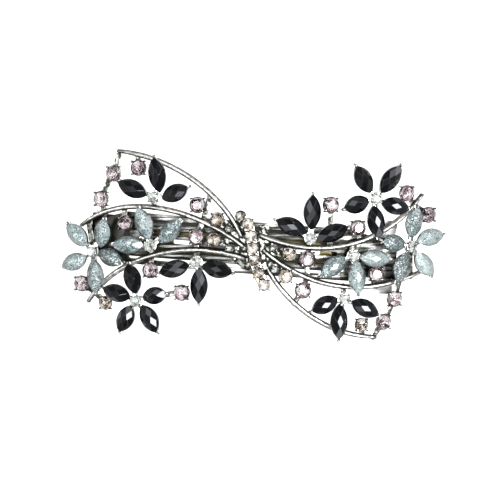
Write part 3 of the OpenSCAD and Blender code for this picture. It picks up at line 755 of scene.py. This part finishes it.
@dataclass
class ClawCups:
    """Turned cups with four drawn claws each, one under every stone of some CAD nodes."""

    node: str
    stones: list[tuple[str, float]]
    silver: bpy.types.Material
    floor: float = 0.35 * MM
    film: float = 0.1 * MM
    rim_share: float = 0.26
    post_from: float = 0.3 * MM
    post_lap: float = 0.1 * MM

    def build(self) -> None:
        """Builds a cup with its claws in every seat, and a post where the cup stands high."""
        bm = bmesh.new()
        posts = self._posts()
        for stones, wire in self.stones:
            for seat in stone_seats(stones):
                self._cup(bm, seat, wire, posts)
        note_crown(bm)
        obj = finish_mesh(bm, f"set_{self.node}", 40.0)
        obj.data.materials.append(self.silver)
        stand(obj, BASE_BODY, "claw_cups", self.node)

    def _posts(self) -> list[tuple[Vector, list[Vector]]]:
        """Middle and corners of each solid of the CAD node."""
        bm = cad_copy(self.node)
        found = []
        for group in islands(bm):
            corners = [v.co.copy() for v in group]
            found.append((sum(corners, Vector()) / len(corners), corners))
        bm.free()
        return found

    def _cup(
        self,
        bm: bmesh.types.BMesh,
        seat: Seat,
        wire: float,
        posts: list[tuple[Vector, list[Vector]]],
    ) -> None:
        """Adds one cup.

        Args:
            bm: the mesh that the cup is added to.
            seat: the stone's seat.
            wire: radius of a claw's wire.
            posts: middles and corners of the node's solids.
        """
        place = seat.matrix(0.0)
        inward = place.inverted()
        corners = min(posts, key=lambda p: (p[0] - seat.table).length)[1]
        local = [inward @ c for c in corners]
        bottom, top = min(c.z for c in local), max(c.z for c in local)
        base = -(self.floor + self.film)
        first = len(bm.verts)
        outer = (seat.width + wire) / 2
        girdle = base + self.floor + self.rim_share * seat.width
        self._turned(bm, outer, base, girdle, seat.width / 2)
        if bottom < base - self.post_from:
            self._turned_post(bm, bottom, base + self.post_lap)
        reach = seat.width / 2 + wire + self.film / 2
        self._claws(bm, wire, reach, base + self.floor, girdle, top)
        bm.verts.ensure_lookup_table()
        bmesh.ops.transform(bm, matrix=place, verts=bm.verts[first:])

    @staticmethod
    def _claws(
        bm: bmesh.types.BMesh, wire: float, reach: float, foot: float, girdle: float, top: float
    ) -> None:
        """Adds the four claws, each up the cup's side and bent in over the stone.

        Args:
            bm: the mesh that they are added to.
            wire: radius of a claw's wire.
            reach: how far out a claw stands from the stone's axis.
            foot: height where a claw starts.
            girdle: height of the stone's widest part.
            top: height of a claw's tip.
        """
        knee = girdle + 0.25 * MM + 0.6 * wire
        path = [
            Vector((reach, 0, foot)),
            Vector((reach, 0, girdle - 0.1 * MM)),
            Vector((reach - 0.05 * wire, 0, knee)),
            Vector((reach - 0.55 * wire, 0, knee + 0.95 * wire)),
            Vector((reach - 1.35 * wire, 0, top - 0.62 * wire)),
            Vector((reach - 1.75 * wire, 0, top - 0.4 * wire)),
        ]
        radii = [share * wire for share in (0.7, 0.85, 0.95, 0.95, 0.8, 0.35)]
        for i in range(4):
            turn = Matrix.Rotation(math.radians(45.0 + 90.0 * i), 4, "Z")
            drawn_wire(bm, [turn @ p for p in path], radii)

    @staticmethod
    def _turned(
        bm: bmesh.types.BMesh, outer: float, base: float, rim: float, inner: float
    ) -> None:
        """Turns the cup's wall from a profile of its outside, rim and conical seat."""
        height = rim - base
        profile = [
            (0.0, base),
            (0.72 * outer, base),
            (0.8 * outer, base + 0.12 * height),
            (0.86 * outer, base + 0.3 * height),
            (0.99 * outer, rim - 0.16 * height),
            (0.99 * outer, rim - 0.05 * height),
            (0.95 * outer, rim),
            (0.9 * inner, rim - 0.08 * height),
            (0.4 * inner, base + 0.42 * height),
            (0.0, base + 0.42 * height),
        ]
        verts = [bm.verts.new((r, 0.0, z)) for r, z in profile]
        edges = [bm.edges.new(pair) for pair in zip(verts, verts[1:])]
        bmesh.ops.spin(
            bm,
            geom=[*verts, *edges],
            cent=(0, 0, 0),
            axis=(0, 0, 1),
            angle=math.tau,
            steps=28,
            use_merge=True,
        )
        bmesh.ops.remove_doubles(bm, verts=bm.verts, dist=MERGE / 4)

    @staticmethod
    def _turned_post(bm: bmesh.types.BMesh, low: float, high: float) -> None:
        """Adds the post under a cup that stands above the ribs, slightly thinner at its top."""
        bmesh.ops.create_cone(
            bm,
            cap_ends=True,
            segments=20,
            radius1=0.45 * MM,
            radius2=0.4 * MM,
            depth=high - low,
            matrix=Matrix.Translation((0, 0, (high + low) / 2)),
        )


@dataclass
class PetalStones:
    """The faceted petal stones of one flower, each with its own tone."""

    flower: str
    slot: str
    finish: bpy.types.Material
    rounding: float
    segments: int
    smooth_angle: float
    tones: tuple[float, ...]

    def build(self) -> None:
        """Copies the cut stones, breaks the edges of their facets and notes their tones."""
        node = f"petals_{self.flower}"
        bm = cad_copy(node)
        soften_edges(bm, 9.0, self.rounding, self.segments)
        note_crown(bm)
        tone = bm.verts.layers.float.new("tone")
        stones = islands(bm)
        middles = [sum((v.co for v in stone), Vector()) / len(stone) for stone in stones]
        heart = sum(middles, Vector()) / len(middles)
        turns = [math.atan2(m.y - heart.y, m.x - heart.x) for m in middles]
        order = sorted(range(len(stones)), key=lambda i: turns[i])
        for place, index in enumerate(order):
            for vert in stones[index]:
                vert[tone] = self.tones[place % len(self.tones)]
        obj = finish_mesh(bm, f"polished_{node}", self.smooth_angle)
        obj.data.materials.append(self.finish)
        stand(obj, BASE_BODY, self.slot, node)


# ------------------------------------------------------------------ metalwork


@dataclass
class Rib:
    """One half-round rib of the bow, smoothed along its sweep."""

    side: str
    place: str
    silver: bpy.types.Material
    edge_angle: float = 60.0
    edge_crease: float = 0.75
    rounds: int = 2

    def build(self) -> None:
        """Copies the swept strip as quads and rounds it with a subdivision surface."""
        node = f"rib_{self.side}_{self.place}"
        bm = cad_copy(node)
        bmesh.ops.join_triangles(
            bm,
            faces=bm.faces,
            angle_face_threshold=math.radians(25.0),
            angle_shape_threshold=math.radians(60.0),
        )
        crease = bm.edges.layers.float.new("crease_edge")
        limit = math.radians(self.edge_angle)
        for edge in bm.edges:
            if len(edge.link_faces) == 2 and edge.calc_face_angle(0.0) > limit:
                edge[crease] = self.edge_crease
        note_crown(bm)
        obj = finish_mesh(bm, f"drawn_{node}", 180.0)
        obj.data.materials.append(self.silver)
        rounding = obj.modifiers.new("rounding", "SUBSURF")
        rounding.levels = rounding.render_levels = self.rounds
        stand(obj, BASE_BODY, "ribs", node)


@dataclass
class CastPiece:
    """A cast or stamped piece with its edges worn round."""

    node: str
    body: str
    slot: str
    finish: bpy.types.Material
    rounding: float
    edge_angle: float = 40.0
    segments: int = 2

    def build(self) -> None:
        """Copies the CAD shape and rounds its sharp edges."""
        bm = cad_copy(self.node)
        soften_edges(bm, self.edge_angle, self.rounding, self.segments)
        note_crown(bm, by_face=True)
        obj = finish_mesh(bm, f"worn_{self.node}", 34.0)
        obj.data.materials.append(self.finish)
        stand(obj, self.body, self.slot, self.node)


# ------------------------------------------------------------------ assemblies


class Flower(Enum):
    """The ten flowers of the bow."""

    LEFT_TOP = "left_top"
    LEFT_MID = "left_mid"
    LEFT_END = "left_end"
    LEFT_BOTTOM = "left_bottom"
    LEFT_INNER = "left_inner"
    RIGHT_TOP = "right_top"
    RIGHT_MID = "right_mid"
    RIGHT_END = "right_end"
    RIGHT_BOTTOM = "right_bottom"
    RIGHT_INNER = "right_inner"

    @property
    def glitters(self) -> bool:
        """Whether the flower's petals are of glitter resin."""
        return self.value.endswith(("_mid", "_end"))

    @property
    def tones(self) -> tuple[float, ...]:
        """Tones of the petals, from the one that points left round by the front."""
        return {
            Flower.LEFT_MID: (0.55, 0.5, 0.7),
            Flower.LEFT_END: (0.72, 0.45, 0.22, 0.58, 0.7),
            Flower.RIGHT_MID: (0.75, 0.9, 0.62),
            Flower.RIGHT_END: (0.22, 1.0, 0.85, 0.4, 0.45),
        }.get(self, (0.5,))


@dataclass
class Flowers:
    """The ten flowers: trays, petal stones and heart stones."""

    tray_rounding: float = 0.04 * MM
    black_rounding: float = 0.025 * MM
    resin_rounding: float = 0.05 * MM

    def build(self) -> None:
        """Builds every flower."""
        tray = AntiqueSilver(
            "tray_silver", 0.14, (0.2, 0.75), 1.2, (0.8, 0.8, 0.78), (0.05, 0.05, 0.045)
        ).make()
        jet = JetStone("jet").make()
        resin = GlitterResin("glitter_resin").make()
        for flower in Flower:
            name, tones = flower.value, flower.tones
            CastPiece(
                f"tray_{name}", BASE_BODY, "flower_trays", tray, self.tray_rounding
            ).build()
            if flower.glitters:
                cut = PetalStones(name, "glitter_petals", resin, self.resin_rounding, 2, 6.0, tones)
            else:
                cut = PetalStones(name, "black_petals", jet, self.black_rounding, 1, 4.0, tones)
            cut.build()
        crystal = CutCrystal("clear_crystal", (0.98, 0.99, 0.985)).make()
        foil = StoneFoil(
            "clear_foil", (0.97, 0.98, 0.96), (0.62, 0.66, 0.63), (0.08, 0.1, 0.09), 0.25
        ).make()
        for number, side in enumerate(("left", "right")):
            RoundStones(f"heart_stones_{side}", "heart_stones", crystal, foil, 5 + number).build()


@dataclass
class WingStones:
    """Pink, champagne and smoke stones with their cups."""

    wire: float = 0.24 * MM
    fine_wire: float = 0.16 * MM

    def build(self) -> None:
        """Builds the stones and cups of both wings."""
        silver = AntiqueSilver(
            "claw_silver", edge=(0.42, 0.9), tarnish=1.5, dark=(0.04, 0.04, 0.034)
        ).make()
        pink = CutCrystal("rose_crystal", (0.99, 0.95, 0.965)).make()
        pink_foil = StoneFoil(
            "rose_foil", (0.98, 0.92, 0.94), (0.4, 0.245, 0.295), (0.02, 0.009, 0.012), 0.37
        ).make()
        warm = CutCrystal("champagne_crystal", (0.985, 0.965, 0.935)).make()
        warm_foil = StoneFoil(
            "champagne_foil", (0.97, 0.93, 0.89), (0.37, 0.28, 0.185), (0.022, 0.015, 0.009), 0.37
        ).make()
        grey = CutCrystal("smoke_crystal", (0.95, 0.96, 0.95)).make()
        grey_foil = StoneFoil(
            "smoke_foil", (0.85, 0.87, 0.85), (0.14, 0.15, 0.14), (0.02, 0.023, 0.02), 0.42
        ).make()
        for number, side in enumerate(("left", "right")):
            RoundStones(f"pink_stones_{side}", "pink_stones", pink, pink_foil, 11 + number).build()
            RoundStones(
                f"champagne_stones_{side}", "champagne_stones", warm, warm_foil, 21 + number
            ).build()
            stones = [(f"pink_stones_{side}", self.wire), (f"champagne_stones_{side}", self.wire)]
            ClawCups(f"claw_cups_{side}", stones, silver).build()
        RoundStones("smoke_stones", "smoke_stones", grey, grey_foil, 31).build()
        ClawCups("smoke_cups", [("smoke_stones", self.fine_wire)], silver).build()


@dataclass
class Knot:
    """The knot: a band with a row of champagne stones across the bow."""

    wire: float = 0.2 * MM
    band_rounding: float = 0.12 * MM

    def build(self) -> None:
        """Builds the band, the cups and the stones."""
        silver = AntiqueSilver(
            "knot_silver", edge=(0.4, 0.85), tarnish=1.2, bright=(0.93, 0.88, 0.8)
        ).make()
        crystal = CutCrystal("knot_crystal", (0.99, 0.98, 0.96)).make()
        foil = StoneFoil(
            "knot_foil", (0.98, 0.96, 0.94), (0.44, 0.345, 0.245), (0.03, 0.02, 0.012), 0.36
        ).make()
        CastPiece(
            "knot_band", BASE_BODY, "knot_band", silver, self.band_rounding, 30.0, 3
        ).build()
        RoundStones("knot_stones", "knot_stones", crystal, foil, 41).build()
        ClawCups("knot_cups", [("knot_stones", self.wire)], silver).build()


@dataclass
class Bow:
    """The ribs and what joins them under the flowers."""

    cast_rounding: float = 0.07 * MM

    def build(self) -> None:
        """Builds the ribs, braces and saddle."""
        silver = AntiqueSilver(
            "rib_silver", 0.25, (0.36, 0.98), 1.1, (0.74, 0.73, 0.7), (0.06, 0.06, 0.052), 0.3 * MM
        ).make()
        dark = AntiqueSilver(
            "brace_silver", 0.2, (0.78, 1.15), 1.8, (0.5, 0.51, 0.47), (0.035, 0.036, 0.03)
        ).make()
        # Near black as a whole, bright only in random patches where it faces up.
        mostly_dark = AntiqueSilver(
            "saddle_silver", 0.2, (0.98, 1.16), 1.8, (0.48, 0.5, 0.46), (0.02, 0.021, 0.016)
        ).make()
        for side in ("left", "right"):
            for place in ("outer", "middle", "inner"):
                Rib(side, place, silver).build()
            braces = CastPiece(
                f"braces_{side}", BASE_BODY, "underframe", dark, self.cast_rounding
            )
            braces.build()
        CastPiece(
            "centre_saddle", BASE_BODY, "underframe", mostly_dark, self.cast_rounding
        ).build()


@dataclass
class FrenchClip:
    """The clip under the bow: plate, arm, tension spring, release tabs and rivets."""

    strip_rounding: float = 0.07 * MM
    spring_rounding: float = 0.05 * MM
    small_rounding: float = 0.06 * MM
    # Span along x over which the plate's painted shade at its hinge end fades out.
    painted_shade_end: tuple[float, float] = (-27.8 * MM, -25.8 * MM)

    def build(self) -> None:
        """Builds each piece of the clip on its own body."""
        # The plate is darkened with painted shade wherever flowers and stones lie within 4 mm over
        # it.
        plate = RolledSteel(
            "plate_steel",
            (0.88, 0.88, 0.86),
            (0.028, 0.029, 0.024),
            reach=4.0 * MM,
            open_from=(0.4, 0.88),
            streak=0.95,
            bright_from=self.painted_shade_end,
        ).make()
        # The arm is the plate's nickel steel; its darker colour is partly painted shade, and its
        # face towards the plate, like the spring's, gets painted shade.
        arm = RolledSteel("arm_steel", (0.52, 0.52, 0.5), (0.02, 0.021, 0.016), upper_shade=0.85).make()
        brass = RolledSteel(
            "spring_brass", (0.3, 0.265, 0.12), (0.03, 0.027, 0.012), upper_shade=0.5, reach=2.0 * MM
        ).make()
        satin = RolledSteel("tab_steel", (0.56, 0.56, 0.56), (0.1, 0.1, 0.09), 0.32).make()
        rivet = AntiqueSilver("rivet_nickel", 0.16).make()
        strip, small = self.strip_rounding, self.small_rounding
        CastPiece("base_plate", BASE_BODY, "clip_plate", plate, strip).build()
        CastPiece("clasp_arm", "arm", "clasp_arm", arm, strip).build()
        CastPiece(
            "tension_spring", "spring", "spring_brass", brass, self.spring_rounding
        ).build()
        for place in ("rear", "front"):
            CastPiece(f"latch_tab_{place}", f"tab_{place}", "latch_tabs", satin, small).build()
        for node in ("hinge_pin", "spring_rivet", "latch_rivets"):
            CastPiece(node, BASE_BODY, "rivets", rivet, small).build()


# ------------------------------------------------------------------ studio


@dataclass
class Softbox:
    """A square lamp that faces the bow."""

    name: str
    azimuth: float
    off_axis: float
    side: float
    radiance: float
    distance: float = 0.6

    def hang(self, target: Vector) -> None:
        """Hangs the lamp over the target.

        Args:
            target: the point that it faces.
        """
        lamp = bpy.data.lights.new(self.name, "AREA")
        lamp.shape, lamp.size = "SQUARE", self.side
        lamp.energy = self.radiance * math.pi * self.side**2
        turn, tilt = math.radians(self.azimuth), math.radians(self.off_axis)
        away = Vector(
            (math.sin(tilt) * math.cos(turn), math.sin(tilt) * math.sin(turn), math.cos(tilt))
        )
        obj = bpy.data.objects.new(self.name, lamp)
        obj.location = target + away * self.distance
        obj.rotation_euler = away.to_track_quat("Z", "Y").to_euler()
        bpy.context.scene.collection.objects.link(obj)


@dataclass
class Studio:
    """Pale floor, soft light and the camera over the bow."""

    centre: Vector = field(default_factory=lambda: Vector((-0.4 * MM, -1.2 * MM, 11.0 * MM)))
    tilt: float = 4.0
    distance: float = 0.4
    lens: float = 129.0
    floor_side: float = 3.0
    floor_drop: float = 80.0 * MM
    sky_strength: float = 3.2

    def build(self) -> None:
        """Sets up the floor, the sky, the lamps and the camera."""
        self._floor()
        self._sky()
        for lamp in (
            Softbox("right_key", 0.0, 28.0, 0.13, 36.0),
            Softbox("left_low", 207.0, 20.0, 0.09, 11.0),
            Softbox("right_low", 335.0, 20.0, 0.09, 9.0),
            Softbox("left_far", 165.0, 50.0, 0.28, 4.5),
            Softbox("back", 95.0, 48.0, 0.28, 3.5),
            Softbox("front_left", 235.0, 52.0, 0.26, 2.5),
            Softbox("front_right", 300.0, 52.0, 0.24, 5.0),
            Softbox("right_far", 32.0, 54.0, 0.26, 6.0),
        ):
            lamp.hang(self.centre)
        self._camera()

    def _floor(self) -> None:
        """Lays the floor far enough under the clip for its arm to swing open above it."""
        bm = bmesh.new()
        bmesh.ops.create_grid(bm, x_segments=8, y_segments=8, size=self.floor_side / 2)
        bmesh.ops.translate(bm, verts=bm.verts, vec=(0.0, 0.0, -self.floor_drop))
        floor = finish_mesh(bm, "floor", None)
        w = Weave("pale_floor")
        w.surface(
            Base_Color=(0.5, 0.5, 0.5, 1.0),
            Roughness=0.85,
            Emission_Color=(1.0, 1.0, 1.0, 1.0),
            Emission_Strength=0.8,
        )
        floor.data.materials.append(w.material)

    def _sky(self) -> None:
        """Makes a soft sky: bright overhead, darker towards the horizon."""
        world = bpy.data.worlds.new("sky")
        bpy.context.scene.world = world
        world.use_nodes = True
        tree = world.node_tree
        tree.nodes.clear()
        place = tree.nodes.new("ShaderNodeTexCoord")
        split = tree.nodes.new("ShaderNodeSeparateXYZ")
        ramp = tree.nodes.new("ShaderNodeValToRGB")
        background = tree.nodes.new("ShaderNodeBackground")
        output = tree.nodes.new("ShaderNodeOutputWorld")
        tree.links.new(place.outputs["Generated"], split.inputs[0])
        tree.links.new(split.outputs["Z"], ramp.inputs["Fac"])
        low = [(0.0, 0.24), (0.3, 0.2), (0.44, 0.06), (0.6, 0.045)]
        high = [(0.8, 0.06), (0.91, 0.2), (0.965, 1.1)]
        fill_ramp(ramp, [(height, (level,) * 3) for height, level in low + high])
        tree.links.new(ramp.outputs["Color"], background.inputs["Color"])
        background.inputs["Strength"].default_value = self.sky_strength
        tree.links.new(background.outputs[0], output.inputs["Surface"])

    def _camera(self) -> None:
        """Places the camera almost square over the bow's face."""
        tilt = math.radians(self.tilt)
        away = Vector((0.0, math.sin(tilt), math.cos(tilt)))
        right = Vector((1.0, 0.0, 0.0))
        up = away.cross(right)
        lens = bpy.data.cameras.new("camera")
        lens.lens = self.lens
        lens.clip_start, lens.clip_end = 0.01, 10.0
        camera = bpy.data.objects.new("camera", lens)
        basis = Matrix((right, up, away)).transposed().to_4x4()
        camera.matrix_world = Matrix.Translation(self.centre + away * self.distance) @ basis
        bpy.context.scene.collection.objects.link(camera)
        bpy.context.scene.camera = camera
        bpy.context.scene.view_settings.view_transform = "Standard"


def main() -> None:
    """Builds the assemblies in order, then the studio."""
    logging.basicConfig(level=logging.INFO, format="%(name)s: %(message)s")
    for assembly in (FrenchClip(), Bow(), Flowers(), WingStones(), Knot(), Studio()):
        log.info("building %s", type(assembly).__name__)
        assembly.build()
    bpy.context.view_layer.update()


if __name__ == "__main__":
    main()
